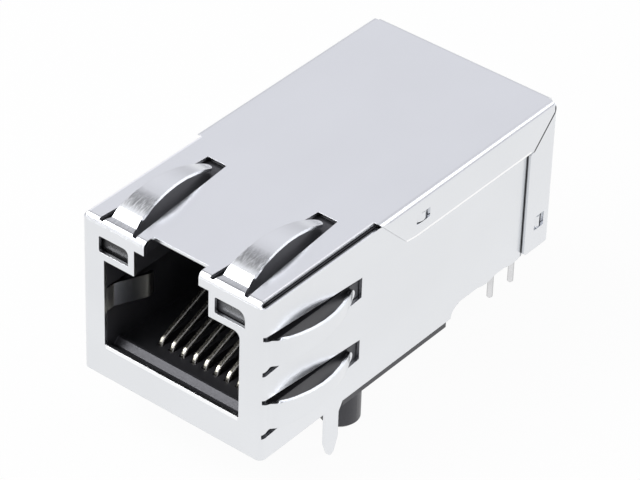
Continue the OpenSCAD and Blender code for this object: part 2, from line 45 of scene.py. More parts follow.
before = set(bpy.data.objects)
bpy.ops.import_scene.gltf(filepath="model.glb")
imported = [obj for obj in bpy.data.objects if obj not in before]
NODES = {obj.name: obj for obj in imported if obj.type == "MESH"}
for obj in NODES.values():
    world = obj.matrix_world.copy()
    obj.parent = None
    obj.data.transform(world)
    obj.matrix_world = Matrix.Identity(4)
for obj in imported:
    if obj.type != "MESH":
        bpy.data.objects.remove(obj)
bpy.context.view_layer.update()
SHIELD_LOW, SHIELD_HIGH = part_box("shield")
LOWEST = min(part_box(name)[0].z for name in NODES)

# ---- Sizes in millimetres ----

# The folded shield, over its side panels and from its lower edge to its top panel
SHIELD_W = 16.26
SHIELD_H = 13.4
# Its lower edge over the board
SHIELD_LIFT = 0.57
# Where the top panel's side flanges start behind the front, and how far they reach down
FLANGE_Y = 12.1
FLANGE_H = 3.14
# Depth of the rear wall's ears
EAR_L = 3.1
# The port's sill over the lower edge
PORT_LOW = 2.85
# Middle of a top finger from the side, and where the fingers' slots end behind the front
FINGER_INSET = 3.17
SLOT_END = 10.55
# Bore of the ring cores
CORE_HOLE = 1.7

# Worked out from them and from the frame
FRONT_Y = SHIELD_LOW.y / MM
SHIELD_D = (SHIELD_HIGH.y - SHIELD_LOW.y) / MM
TOP_Z = SHIELD_LIFT + SHIELD_H
SIDE_X = SHIELD_W / 2
FINGER_X = SIDE_X - FINGER_INSET
EAR_Y = SHIELD_D - EAR_L
SILL = SHIELD_H - PORT_LOW
CONTACT_PITCH = (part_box("contact_2")[0].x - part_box("contact_1")[0].x) / MM

# The arc of a ring core that its wire covers
WOUND_ARC = {"transformer": math.radians(320), "choke": math.radians(260)}
# Radius of the wire as a share of its pitch, and the sides of its section
WIRE_SHARE = 0.44
WIRE_SIDES = 6
# A solder fillet from the board up to the pin, as (radius, height)
FILLET = ((0, 0), (0.5, 0), (0.48, 0.03), (0.36, 0.07), (0.29, 0.15), (0.26, 0.26), (0.2, 0.27), (0, 0.27))
FILLET_STEPS = 14
# Vertices closer than this are one
WELD = 0.0005
# Degrees within which faces are flat together, and past which an edge of a frame's shape is sharp and is rounded
FLAT_WITHIN = 0.5
SHARP_PAST = 30
ROUNDED_PAST = 38

# ---- Finishes ----

# Colours that no setting changes
# The pale colour of the contact wires' painted edge highlights
PAINTED_EDGE_HIGHLIGHT = (0.9, 0.89, 0.86)
TINNED_END = (0.72, 0.72, 0.74)
SOLDER = (0.6, 0.6, 0.62)
RESISTOR_BLACK = (0.02, 0.02, 0.022)
CAPACITOR_TAN = (0.42, 0.3, 0.2)

# Places on the sheet are given as limits in millimetres, as (low, high) or (low, high, half the soft border's width):
# across from the middle, behind the front panel, below the top panel's face, beside a top finger's middle, past a
# flange's slanting front end, and before the ear's slanting top. A limit of None is open.

# The springs that reach into the port, with painted shade that darkens them from their roots towards their tips,
# deeper in the port
SPRINGS = {"across": (None, SIDE_X - 0.6, 0.1), "behind": (0.4, 8, 0.1), "below": (1.1, None, 0.1)}
SPRING_SHADE_DEPTHS = (0.7, 2.3)
# The bends of the top fingers, whose sheet is a little rougher
BENDS = {"below": (None, -0.1, 0.05), "behind": (1.5, 3, 0.3)}
# Scratches on those bends: how far proud of the panel, and where behind the front, they come in and fade out
SCRATCH_PROUD = (-0.05, -0.3)
SCRATCH_START = (1.5, 2.1)
SCRATCH_END = (3.7, 2.7)
# The outer faces of the sides and flanges, and the seams' run from the front to the flanges
OUTSIDE = (SIDE_X + 0.05, None)
SEAM_RUN = (0.3, FLANGE_Y)
# Painted shade and painted highlights at the sheet's folds, seams, gaps and sheared edges, each with the darkest and
# lightest shade of the tin there
SHEET_PAINTED_LIGHT = {
    # Painted shade on the strip between the front fold and a top finger's rise, where the rise shades it
    "finger_root": (0.6, 0.8, {"behind": (0.22, 0.76), "beside_finger": (None, 1.47), "below": (-0.1, 0.15)}),
    # Painted shade in the open joint between a flange and the rear ear
    "mitre_shade": (0.15, 0.25, {"across": OUTSIDE, "before_ear": (-0.58, -0.34), "below": (0.3, FLANGE_H + 0.1)}),
    # Seam beside the top panel: painted shade on the panel's own sheared edge, and darker painted shade in the gap
    # beyond it
    "seam": (0.5, 0.5, {
        "across": (SIDE_X - 0.42, SIDE_X - 0.27, 0.01), "below": (0.015, 0.45, 0.01), "behind": SEAM_RUN}),
    "seam_gap": (0.15, 0.25, {
        "across": (SIDE_X - 0.27, SIDE_X - 0.1, 0.01), "below": (0.015, 0.45, 0.01), "behind": SEAM_RUN}),
    # Painted shade on the sheared end of a top finger's slot
    "slot_end_shade": (0.2, 0.3, {"behind": (SLOT_END - 0.05, SLOT_END + 0.02, 0.01), "below": (0.015, 0.3, 0.01)}),
    # Painted highlight along the top panel's sheared edge
    "seam_edge_highlight": (1.2, 1.3, {
        "across": (SIDE_X - 0.49, SIDE_X - 0.3, 0.01), "below": (-0.1, 0.01, 0.005), "behind": SEAM_RUN}),
    # Painted shade in the gap down the rear ear's sheared edge
    "ear": (0.3, 0.3, {
        "behind": (EAR_Y - 0.07, EAR_Y + 0.03), "below": (FLANGE_H + 0.1, None, 0.05),
        "across": (SIDE_X - 0.05, SIDE_X + 0.12)}),
    # Painted highlights on edges: the flanges' lower ones over the sides, and the port's sill
    "flange_edge_highlight": (1.3, 1.3, {
        "across": OUTSIDE, "below": (FLANGE_H - 0.18, FLANGE_H + 0.1), "behind": (1, EAR_Y)}),
    "sill": (1.2, 1.3, {"below": (SILL - 0.02, SILL + 0.32), "across": (None, 6), "behind": (None, 0.2)}),
    # Painted shade along the slanting edge at the front of a flange, where it meets the side
    "flange_end_shade": (0.75, 0.75, {"across": OUTSIDE, "past_flange": (-0.1, 0.03), "below": (0.1, FLANGE_H)}),
}

# Where each lens turns from its left end, darkened by painted shade from the window's wall, to the rest, in
# millimetres across
LEFT_LENS_TURN = (-5.9, -5.1)
RIGHT_LENS_TURN = (4.4, 5.2)

# ---- Studio ----

# Where each round lamp hangs, and its width, in metres
LAMPS = {
    "front_lamp": ((-0.21, -0.185, 0.325), 0.34),
    "rear_lamp": ((0.3, 0.25, 0.34), 0.3),
    "port_lamp": ((-0.12, -0.42, 0.11), 0.2),
}
# The sky that the metal shows, as (height from level at 0 to straight up at 1, grey there), and its touch of blue
SKY = ((0.06, 0.95), (0.1, 0.75), (0.2, 0.62), (0.34, 0.76), (0.6, 0.9), (0.77, 0.86), (0.81, 0.4), (0.87, 0.34))
HORIZON = (1, 1, 1, 1)
ZENITH = (0.45, 0.45, 0.48, 1)
SKY_BLUE = 1.05
# How much of the floor turns to pure white before the camera, while the rest keeps the jack's shadow
FLOOR_WHITE = 0.96
# The floor's drop below the jack's lowest point, in millimetres
FLOOR_GAP = 0.02


def numbered(stem):
    """The frame's nodes that are called by a stem and a number."""
    return sorted(name for name in NODES if name.startswith(f"{stem}_") and name[len(stem) + 1:].isdigit())


# ---- Settings ----


class JackShieldSettings(bpy.types.PropertyGroup):
    """Finish of the folded sheet."""

    tin_colour: FloatVectorProperty(
        name="Tin colour", description="Colour of the tin-plated sheet", subtype="COLOR",
        default=(0.79, 0.804, 0.828), min=0, max=1)
    tin_roughness: FloatProperty(
        name="Tin roughness", description="Mean roughness of the rolled sheet", subtype="FACTOR",
        default=0.23, min=0, max=1)
    edge_width: FloatProperty(
        name="Edge width", description="Width of the worn round on the sheet's cut edges",
        default=0.03 * MM, min=0, max=0.1 * MM, unit="LENGTH", precision=6)


class JackPlasticSettings(bpy.types.PropertyGroup):
    """Finish of the moulded parts."""

    housing_colour: FloatVectorProperty(
        name="Housing colour", description="Colour of the black moulded housing", subtype="COLOR",
        default=(0.032, 0.032, 0.036), min=0, max=1)
    insert_colour: FloatVectorProperty(
        name="Insert colour", description="Colour of the contact insert", subtype="COLOR",
        default=(0.034, 0.034, 0.036), min=0, max=1)
    case_colour: FloatVectorProperty(
        name="Case colour", description="Colour of the magnetics case", subtype="COLOR",
        default=(0.028, 0.028, 0.032), min=0, max=1)
    edge_width: FloatProperty(
        name="Edge width", description="Width of the moulded parts' small edge rounds",
        default=0.05 * MM, min=0, max=0.2 * MM, unit="LENGTH", precision=6)


class JackLampSettings(bpy.types.PropertyGroup):
    """Finish of the two signal lamps."""

    lens_colour: FloatVectorProperty(
        name="Lens colour", description="Colour of the cloudy lamp lenses", subtype="COLOR",
        default=(0.165, 0.17, 0.178), min=0, max=1)
    edge_width: FloatProperty(
        name="Edge width", description="Width of the lens body's edge rounds",
        default=0.08 * MM, min=0, max=0.3 * MM, unit="LENGTH", precision=6)


class JackContactSettings(bpy.types.PropertyGroup):
    """Finish of the contacts and pins."""

    gold_colour: FloatVectorProperty(
        name="Gold colour", description="Colour of the flash-plated contact wires", subtype="COLOR",
        default=(0.82, 0.79, 0.68), min=0, max=1)
    pin_colour: FloatVectorProperty(
        name="Pin colour", description="Colour of the tinned pins and leads", subtype="COLOR",
        default=(0.74, 0.74, 0.75), min=0, max=1)
    edge_width: FloatProperty(
        name="Edge width", description="Width of the rounds along the contact wires",
        default=0.07 * MM, min=0, max=0.15 * MM, unit="LENGTH", precision=6)


class JackMagneticsSettings(bpy.types.PropertyGroup):
    """Finish of the board, cores and wire inside the case."""

    board_colour: FloatVectorProperty(
        name="Board colour", description="Colour of the circuit board's mask", subtype="COLOR",
        default=(0.015, 0.11, 0.045), min=0, max=1)
    ferrite_colour: FloatVectorProperty(
        name="Ferrite colour", description="Colour of the ring cores", subtype="COLOR",
        default=(0.055, 0.052, 0.05), min=0, max=1)
    copper_colour: FloatVectorProperty(
        name="Copper colour", description="Colour of the enamelled wire", subtype="COLOR",
        default=(0.62, 0.25, 0.10), min=0, max=1)
    wire_pitch: FloatProperty(
        name="Wire pitch", description="Spacing of the turns on a core",
        default=0.22 * MM, min=0.1 * MM, max=0.4 * MM, unit="LENGTH", precision=6)
    edge_width: FloatProperty(
        name="Edge width", description="Width of the rounds on the ring cores",
        default=0.08 * MM, min=0, max=0.2 * MM, unit="LENGTH", precision=6)


class JackStudioSettings(bpy.types.PropertyGroup):
    """Floor, light and camera."""

    floor_colour: FloatVectorProperty(
        name="Floor colour", description="Colour of the plain floor", subtype="COLOR",
        default=(0.9, 0.9, 0.9), min=0, max=1)
    floor_size: FloatProperty(
        name="Floor size", description="Length of the floor's sides", default=3.0, min=0.5, unit="LENGTH")
    front_lamp: FloatProperty(
        name="Front lamp", description="Power of the large front lamp", default=1.4, min=0, unit="POWER")
    rear_lamp: FloatProperty(
        name="Rear lamp", description="Power of the rear lamp", default=0.4, min=0, unit="POWER")
    port_lamp: FloatProperty(
        name="Port lamp", description="Power of the low lamp before the port",
        default=0.3, min=0, unit="POWER")
    world_strength: FloatProperty(
        name="World strength", description="Strength of the even studio light", default=0.45, min=0)
    camera_place: FloatVectorProperty(
        name="Camera place", description="Where the camera stands", subtype="XYZ", unit="LENGTH",
        default=(0.1251209, -0.1541734, 0.1567610))
    camera_turn: FloatVectorProperty(
        name="Camera turn", description="How the camera is turned", subtype="EULER", unit="ROTATION",
        default=(0.9323412, -0.0265741, 0.6853597))
    focal_length: FloatProperty(
        name="Focal length", description="The camera's focal length in mm on its sensor",
        default=199.756, min=20)
    sensor_width: FloatProperty(
        name="Sensor width", description="Width of the camera's sensor in mm", default=36, min=1)


SETTINGS = {
    "jack_shield": JackShieldSettings,
    "jack_plastic": JackPlasticSettings,
    "jack_lamps": JackLampSettings,
    "jack_contacts": JackContactSettings,
    "jack_magnetics": JackMagneticsSettings,
    "jack_studio": JackStudioSettings,
}


# ---- Materials ----


class Finish:
    """A procedural material under construction: a principled surface that reads Object coordinates."""

    def __init__(self, name):
        self.material = bpy.data.materials.new(name)
        self.material.use_nodes = True
        self.tree = self.material.node_tree
        self.surface = self.tree.nodes["Principled BSDF"]
        self.place = self.node("ShaderNodeTexCoord").outputs["Object"]
        self.axes = self.node("ShaderNodeSeparateXYZ")
        self.link(self.place, self.axes.inputs["Vector"])

    def node(self, kind, **settings):
        """A new node with its settings."""
        made = self.tree.nodes.new(kind)
        for key, value in settings.items():
            setattr(made, key, value)
        return made

    def link(self, source, target):
        """Leads one socket to another."""
        self.tree.links.new(source, target)

    def set(self, **values):
        """Sets sockets that are the same all over the surface."""
        for key, value in values.items():
            self.surface.inputs[key.replace("_", " ")].default_value = value

    def vary(self, **values):
        """Leads values that change over the surface to its sockets."""
        for key, value in values.items():
            self.link(value, self.surface.inputs[key.replace("_", " ")])

    def axis(self, name):
        """Millimetres along one axis."""
        return self.maths("MULTIPLY", self.axes.outputs[name], 1 / MM)

    def maths(self, operation, first, second=0.0):
        """One step of arithmetic on sockets or numbers."""
        made = self.node("ShaderNodeMath", operation=operation)
        for socket, value in zip(made.inputs, (first, second)):
            if isinstance(value, (int, float)):
                socket.default_value = value
            else:
                self.link(value, socket)
        return made.outputs["Value"]

    def noise(self, cells, detail=3.0, roughness=0.5):
        """Noise with so many cells to the millimetre along each axis."""
        mapping = self.node("ShaderNodeMapping")
        mapping.inputs["Scale"].default_value = [count / MM for count in cells]
        self.link(self.place, mapping.inputs["Vector"])
        made = self.node("ShaderNodeTexNoise")
        made.inputs["Scale"].default_value = 1.0
        made.inputs["Detail"].default_value = detail
        made.inputs["Roughness"].default_value = roughness
        self.link(mapping.outputs["Vector"], made.inputs["Vector"])
        return made.outputs["Fac"]

    def spread(self, value, low, high, start=0.3, end=0.7):
        """A value carried from start..end to low..high, and held beyond them."""
        made = self.node("ShaderNodeMapRange")
        for key, number in (("From Min", start), ("From Max", end), ("To Min", low), ("To Max", high)):
            made.inputs[key].default_value = number
        self.link(value, made.inputs["Value"])
        return made.outputs["Result"]

    def rise(self, value, start, end):
        """Nothing before a start and one past an end, or the other way round where the end is the lower."""
        return self.spread(value, 0, 1, start, end)

    def band(self, value, low, high, soft=0.02):
        """One between two limits and nothing beyond them."""
        shares = []
        if low is not None:
            shares.append(self.rise(value, low - soft, low + soft))
        if high is not None:
            shares.append(self.rise(value, high + soft, high - soft))
        return self.overlap(*shares)

    def overlap(self, first, *others):
        """The share of the surface where all of several shares hold."""
        for other in others:
            first = self.maths("MULTIPLY", first, other)
        return first

    def mixed(self, share, first, second):
        """Two colours, mixed by a share."""
        made = self.node("ShaderNodeMix", data_type="RGBA")
        self.link(share, made.inputs["Factor"])
        for socket, value in ((made.inputs[6], first), (made.inputs[7], second)):
            if isinstance(value, bpy.types.NodeSocket):
                self.link(value, socket)
            else:
                socket.default_value = value
        return made.outputs[2]

    def clouded(self, noise, colour, dark, light):
        """A colour that wanders with a noise between two of its shades."""
        return self.mixed(self.spread(noise, 0, 1), shade(colour, dark), shade(colour, light))

    def bump(self, *layers, edge=0.0):
        """Height layers, each (height, depth in mm), laid over one another and over rounded edges."""
        normal = None
        if edge:
            rounded = self.node("ShaderNodeBevel", samples=6)
            rounded.inputs["Radius"].default_value = edge
            normal = rounded.outputs["Normal"]
        for height, depth in layers:
            made = self.node("ShaderNodeBump")
            made.inputs["Distance"].default_value = depth * MM
            self.link(height, made.inputs["Height"])
            if normal:
                self.link(normal, made.inputs["Normal"])
            normal = made.outputs["Normal"]
        self.vary(Normal=normal)


def shade(colour, factor=1.0):
    """A colour made lighter or darker, with full alpha."""
    return [min(1.0, part * factor) for part in colour[:3]] + [1.0]


def sheet_places(tin):
    """The distances that place a mark on the sheet, in millimetres."""
    across = tin.maths("ABSOLUTE", tin.axis("X"))
    behind = tin.maths("SUBTRACT", tin.axis("Y"), FRONT_Y)
    below = tin.maths("SUBTRACT", TOP_Z, tin.axis("Z"))
    return {
        "across": across,
        "behind": behind,
        "below": below,
        "beside_finger": tin.maths("ABSOLUTE", tin.maths("SUBTRACT", across, FINGER_X)),
        "past_flange": tin.maths("SUBTRACT", tin.maths("SUBTRACT", behind, FLANGE_Y), below),
        "before_ear": tin.maths("SUBTRACT", tin.maths("SUBTRACT", SHIELD_D, behind), below),
    }


def sheet_tin(settings):
    """Tin-plated rolled sheet: soft clouding, fine grain along the jack, the marks of forming, and painted shade and
    painted highlights at its seams, gaps, edges and in the port.
    """
    tin = Finish("shield_tin")
    tin.set(Metallic=1.0)
    colour, rough = settings.tin_colour, settings.tin_roughness
    clouds = tin.noise((0.16, 0.1, 0.16), detail=4)
    grain = tin.noise((9, 1.1, 9), detail=4)
    speckle = tin.noise((7, 7, 7), detail=2)
    scratches = tin.noise((14, 1, 5), detail=5, roughness=0.75)
    places = sheet_places(tin)

    def where(limits):
        """The share of the sheet within limits."""
        return tin.overlap(*(tin.band(places[name], *limit) for name, limit in limits.items()))

    tone = tin.clouded(clouds, colour, 0.975, 1.015)
    # Painted shade on the springs, darker deeper in the port
    worn = tin.mixed(tin.rise(places["behind"], *SPRING_SHADE_DEPTHS), shade(colour, 0.95), shade(colour, 0.3))
    tone = tin.mixed(where(SPRINGS), tone, worn)
    scratched = tin.overlap(tin.rise(places["below"], *SCRATCH_PROUD), tin.rise(places["behind"], *SCRATCH_START),
                            tin.rise(places["behind"], *SCRATCH_END), tin.rise(scratches, 0.37, 0.53))
    tone = tin.mixed(scratched, tone, shade(colour, 0.4))
    # Painted shade and painted highlights at the sheet's seams, gaps and edges
    for dark, light, limits in SHEET_PAINTED_LIGHT.values():
        tone = tin.mixed(where(limits), tone, tin.clouded(grain, colour, dark, light))

    uneven = tin.maths("ADD", tin.spread(grain, rough * 0.93, rough * 1.07), tin.spread(clouds, -0.015, 0.015))
    bent = tin.maths("MULTIPLY", where(BENDS), 0.1)
    tin.vary(Base_Color=tone, Roughness=tin.maths("ADD", uneven, bent))
    tin.bump((speckle, 0.0002), (grain, 0.0002), edge=settings.edge_width)
    return tin.material


def moulded(name, colour, rough, grain_depth, edge):
    """Moulded plastic with a fine spark-eroded grain and faint flow clouding."""
    plastic = Finish(name)
    plastic.set(IOR=1.6, Specular_Tint=(0.93, 0.93, 1, 1))
    clouds = plastic.noise((0.5, 0.5, 0.5))
    grain = plastic.noise((11, 11, 11))
    plastic.vary(Base_Color=plastic.clouded(clouds, colour, 0.88, 1.15),
                 Roughness=plastic.spread(grain, rough - 0.06, rough + 0.08))
    plastic.bump((grain, grain_depth), edge=edge)
    return plastic.material


def cloudy_lens(settings):
    """Cloudy cast epoxy, darker in the left lamp, with painted shade at each lens's left end."""
    lens = Finish("lamp_lens")
    colour = settings.lens_colour
    clouds = lens.noise((1.6, 0.5, 1.2), detail=2)
    across = lens.axis("X")
    # Each lens is darker at its left end: painted shade from the window's wall
    left = lens.mixed(lens.rise(across, *LEFT_LENS_TURN), shade(colour, 0.1), shade(colour, 0.2))
    right = lens.mixed(lens.rise(across, *RIGHT_LENS_TURN), shade(colour, 0.85), shade(colour, 1.02))
    body = lens.mixed(lens.rise(across, -1, 1), left, right)
    lens.set(IOR=1.45, Transmission_Weight=0.3)
    lens.vary(Base_Color=lens.mixed(lens.spread(clouds, 0, 0.1), body, shade(colour, 0.6)),
              Roughness=lens.spread(clouds, 0.26, 0.29))
    lens.bump((clouds, 0.001))
    return lens.material


def plated(name, colour, rough, tarnish):
    """Plated metal with drawn streaks and a little tarnish, and painted shade where it turns away from the view."""
    metal = Finish(name)
    metal.set(Metallic=1.0)
    streaks = metal.noise((14, 2, 14))
    clouds = metal.noise((1.1, 0.8, 1.1))
    rim = metal.node("ShaderNodeLayerWeight")
    rim.inputs["Blend"].default_value = 0.4
    # Painted shade where the surface turns away from the view
    turned = metal.rise(rim.outputs["Facing"], 0.3, 0.8)
    metal.vary(Base_Color=metal.mixed(turned, metal.clouded(clouds, colour, 1 - tarnish, 1.03), shade(colour, 0.4)),
               Roughness=metal.spread(streaks, rough * 0.8, rough * 1.3))
    metal.bump((streaks, 0.001))
    return metal.material


def contact_wire(settings):
    """Flash-plated contact wire with painted highlights along its sheared edges."""
    wire = Finish("contact_gold")
    streaks = wire.noise((14, 2, 14))
    clouds = wire.noise((1.1, 0.8, 1.1))
    # How far to the right of its contact's middle a point lies, as a share of the pitch
    aside = wire.maths("SUBTRACT", wire.maths("FRACT", wire.maths("DIVIDE", wire.axis("X"), CONTACT_PITCH)), 0.5)
    # Painted highlights along each wire's sheared edges, pale and less metallic
    right_edge = wire.overlap(wire.rise(aside, 0.08, 0.11), wire.rise(aside, 0.156, 0.148))
    left_edge = wire.maths("MULTIPLY", wire.rise(aside, -0.11, -0.14), 0.3)
    edges = wire.maths("ADD", right_edge, left_edge)
    body = wire.clouded(clouds, settings.gold_colour, 0.85, 1.03)
    wire.vary(Base_Color=wire.mixed(edges, body, shade(PAINTED_EDGE_HIGHLIGHT)),
              Metallic=wire.spread(edges, 1, 0.3, 0, 1),
              Roughness=wire.spread(streaks, 0.2, 0.32))
    wire.bump((streaks, 0.001))
    return wire.material


def laminate(settings):
    """Green-masked board over a woven base."""
    board = Finish("board_laminate")
    threads = [board.maths("SINE", board.maths("MULTIPLY", board.axis(axis), 14)) for axis in "XY"]
    weave = board.maths("MULTIPLY", *threads)
    clouds = board.noise((0.8, 0.8, 0.8))
    share = board.maths("ADD", board.spread(weave, 0, 0.35, -1, 1), board.spread(clouds, 0, 0.6))
    colour = settings.board_colour
    board.vary(Base_Color=board.mixed(share, shade(colour, 0.85), shade(colour, 1.5)),
               Roughness=board.spread(clouds, 0.28, 0.4))
    board.bump((weave, 0.004))
    return board.material


def sintered(settings):
    """Sintered ferrite: dark, matt and finely pitted."""
    ferrite = Finish("ferrite")
    pits = ferrite.noise((14, 14, 14), detail=4, roughness=0.7)
    ferrite.vary(Base_Color=ferrite.clouded(pits, settings.ferrite_colour, 0.75, 1.3),
                 Roughness=ferrite.spread(pits, 0.55, 0.8))
    ferrite.bump((pits, 0.01))
    return ferrite.material


def enamelled_copper(settings):
    """Copper wire under clear enamel."""
    copper = Finish("copper_wire")
    copper.set(Metallic=1.0, Coat_Weight=0.5, Coat_Roughness=0.12)
    clouds = copper.noise((3, 3, 3))
    copper.vary(Base_Color=copper.clouded(clouds, settings.copper_colour, 0.8, 1.15),
                Roughness=copper.spread(clouds, 0.22, 0.36))
    return copper.material


def chip_body(name, node, axis, colour, cap):
    """A ceramic chip with tinned ends along one axis, placed by the box of one chip of its kind."""
    chip = Finish(name)
    low, high = (corner["XYZ".index(axis)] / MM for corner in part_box(node))
    grain = chip.noise((9, 9, 9))
    along = chip.maths("ABSOLUTE", chip.maths("SUBTRACT", chip.axis(axis), (low + high) / 2))
    ends = chip.maths("GREATER_THAN", along, (high - low) / 2 - cap)
    chip.vary(Base_Color=chip.mixed(ends, chip.clouded(grain, colour, 0.85, 1.15), shade(TINNED_END)),
              Metallic=ends, Roughness=chip.spread(grain, 0.35, 0.5))
    chip.bump((grain, 0.004))
    return chip.material


# ---- Pieces ----


def finish_node(name, material):
    """Gives a node of the frame its material."""
    slots = NODES[name].data.materials
    slots.clear()
    slots.append(material)


def place(name, mesh, material, slot, *replaced):
    """Puts a finished mesh in the scene as a piece of the jack."""
    piece = bpy.data.objects.new(name, mesh)
    bpy.context.scene.collection.objects.link(piece)
    mesh.materials.append(material)
    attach(piece, "root")
    if replaced:
        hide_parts(*replaced)
    return piece


def meshed(shape, name, sharp_past):
    """A bmesh as a mesh, smooth but for the edges that turn past an angle in degrees."""
    mesh = bpy.data.meshes.new(name)
    for face in shape.faces:
        face.smooth = True
    shape.to_mesh(mesh)
    shape.free()
    mesh.set_sharp_from_angle(angle=math.radians(sharp_past))
    return mesh


def softened(node, name, material, slot, width):
    """A node's shape with rounded edges and flat faces, in the node's place."""
    shape = bmesh.new()
    shape.from_mesh(NODES[node].data)
    bmesh.ops.remove_doubles(shape, verts=shape.verts, dist=WELD * MM)
    bmesh.ops.dissolve_limit(shape, angle_limit=math.radians(FLAT_WITHIN), verts=shape.verts, edges=shape.edges)
    piece = place(name, meshed(shape, name, SHARP_PAST), material, slot, node)
    bevel = piece.modifiers.new("worn_edges", "BEVEL")
    bevel.limit_method = "ANGLE"
    bevel.angle_limit = math.radians(ROUNDED_PAST)
    bevel.width = width
    bevel.segments = 2
    bevel.use_clamp_overlap = False
    flat = piece.modifiers.new("flat_faces", "WEIGHTED_NORMAL")
    flat.weight = 100
    flat.keep_sharp = True


def turns(core, pitch):
    """The run of a wire round a ring core, as placements whose Z axes point back along it, and its radius."""
    low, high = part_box(core)
    centre, arc, radius = (low + high) / 2, WOUND_ARC[core.split("_")[0]], WIRE_SHARE * pitch
    # One turn as (distance from the core's axis, distance along it), cut short at the ring's corners
    outer, inner = (high.y - low.y) / 2 + radius, CORE_HOLE * MM / 2 - radius
    side, cut = (high.x - low.x) / 2 + radius, 0.8 * radius
    section = [(outer - cut, -side), (outer, cut - side), (outer, side - cut), (outer - cut, side),
               (inner + cut, side), (inner, side - cut), (inner, cut - side), (inner + cut, -side)]
    steps = len(section) * int(arc * inner / pitch)
    path, around = [], []
    for step in range(steps + 1):
        angle = math.pi - arc / 2 + arc * step / steps
        reach, along = section[step % len(section)]
        path.append(centre + Vector((along, -reach * math.cos(angle), reach * math.sin(angle))))
        around.append(Vector((0, math.sin(angle), math.cos(angle))))
    placements = []
    for step, (point, level) in enumerate(zip(path, around)):
        ahead = (path[min(step + 1, steps)] - path[max(step - 1, 0)]).normalized()
        up = (level - ahead * ahead.dot(level)).normalized()
        turn = Matrix((ahead.cross(up), up, -ahead)).transposed()
        placements.append(Matrix.Translation(point) @ turn.to_4x4())
    return placements, radius


def wound(name, core, pitch):
    """One wire wound round a ring core, over the arc that the frame's winding covers."""
    placements, radius = turns(core, pitch)
    shape = bmesh.new()
    start = bmesh.ops.create_circle(shape, cap_ends=True, radius=radius, segments=WIRE_SIDES, matrix=placements[0])
    edges = list({edge for vert in start["verts"] for edge in vert.link_edges})
    for here, following in zip(placements, placements[1:]):
        grown = bmesh.ops.extrude_edge_only(shape, edges=edges)["geom"]
        edges = [part for part in grown if isinstance(part, bmesh.types.BMEdge)]
        verts = [part for part in grown if isinstance(part, bmesh.types.BMVert)]
        bmesh.ops.transform(shape, matrix=following @ here.inverted(), verts=verts)
    bmesh.ops.contextual_create(shape, geom=edges)
    bmesh.ops.recalc_face_normals(shape, faces=shape.faces)
    return meshed(shape, name, sharp_past=50)


def solder_fillets(name, pins, board_top):
    """A cone of solder round each pin, spun on the board's upper face."""
    shape = bmesh.new()
    for pin in pins:
        low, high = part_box(pin)
        middle = Vector(((low.x + high.x) / 2, (low.y + high.y) / 2, board_top))
        verts = [shape.verts.new(middle + Vector((radius, 0, height)) * MM) for radius, height in FILLET]
        edges = [shape.edges.new(pair) for pair in zip(verts, verts[1:])]
        bmesh.ops.spin(shape, geom=verts + edges, cent=middle, axis=(0, 0, 1), angle=math.tau,
                       steps=FILLET_STEPS, use_merge=True)
    bmesh.ops.remove_doubles(shape, verts=shape.verts, dist=WELD * MM)
    bmesh.ops.recalc_face_normals(shape, faces=shape.faces)
    return meshed(shape, name, sharp_past=60)


class JACK_OT_shield(bpy.types.Operator):
    """Finish the folded tin-plated shield"""

    bl_idname = "jack.shield"
    bl_label = "Shield"

    def execute(self, context):
        finish_node("shield", sheet_tin(context.scene.jack_shield))
        return {"FINISHED"}


class JACK_OT_plastics(bpy.types.Operator):
    """Finish the housing, the contact insert and the magnetics case"""

    bl_idname = "jack.plastics"
    bl_label = "Moulded parts"

    def execute(self, context):
        settings = context.scene.jack_plastic
        for node, name, colour, rough, grain_depth in (
                ("front_housing", "housing_plastic", settings.housing_colour, 0.34, 0.004),
                ("contact_insert", "insert_plastic", settings.insert_colour, 0.38, 0.004),
                ("magnetics_case", "case_plastic", settings.case_colour, 0.48, 0.008)):
            finish_node(node, moulded(name, colour, rough, grain_depth, settings.edge_width))
        return {"FINISHED"}


class JACK_OT_lamps(bpy.types.Operator):
    """Make the two lamps' lenses"""

    bl_idname = "jack.lamps"
    bl_label = "Lamps"

    def execute(self, context):
        settings = context.scene.jack_lamps
        lens = cloudy_lens(settings)
        for side in ("left", "right"):
            softened(f"led_{side}", f"lamp_{side}_lens", lens, "lamp_lens", settings.edge_width)
        return {"FINISHED"}


class JACK_OT_contacts(bpy.types.Operator):
    """Make the eight spring contacts, and finish the solder pins and the lamps' leads"""

    bl_idname = "jack.contacts"
    bl_label = "Contacts and pins"

    def execute(self, context):
        settings = context.scene.jack_contacts
        gold = contact_wire(settings)
        for name in numbered("contact"):
            softened(name, name.replace("contact", "spring"), gold, "contact_gold", settings.edge_width)
        tin = plated("pin_tin", settings.pin_colour, rough=0.26, tarnish=0.08)
        for name in (*numbered("led_pin"), *numbered("signal_pin"), "led_left_leads", "led_right_leads"):
            finish_node(name, tin)
        return {"FINISHED"}


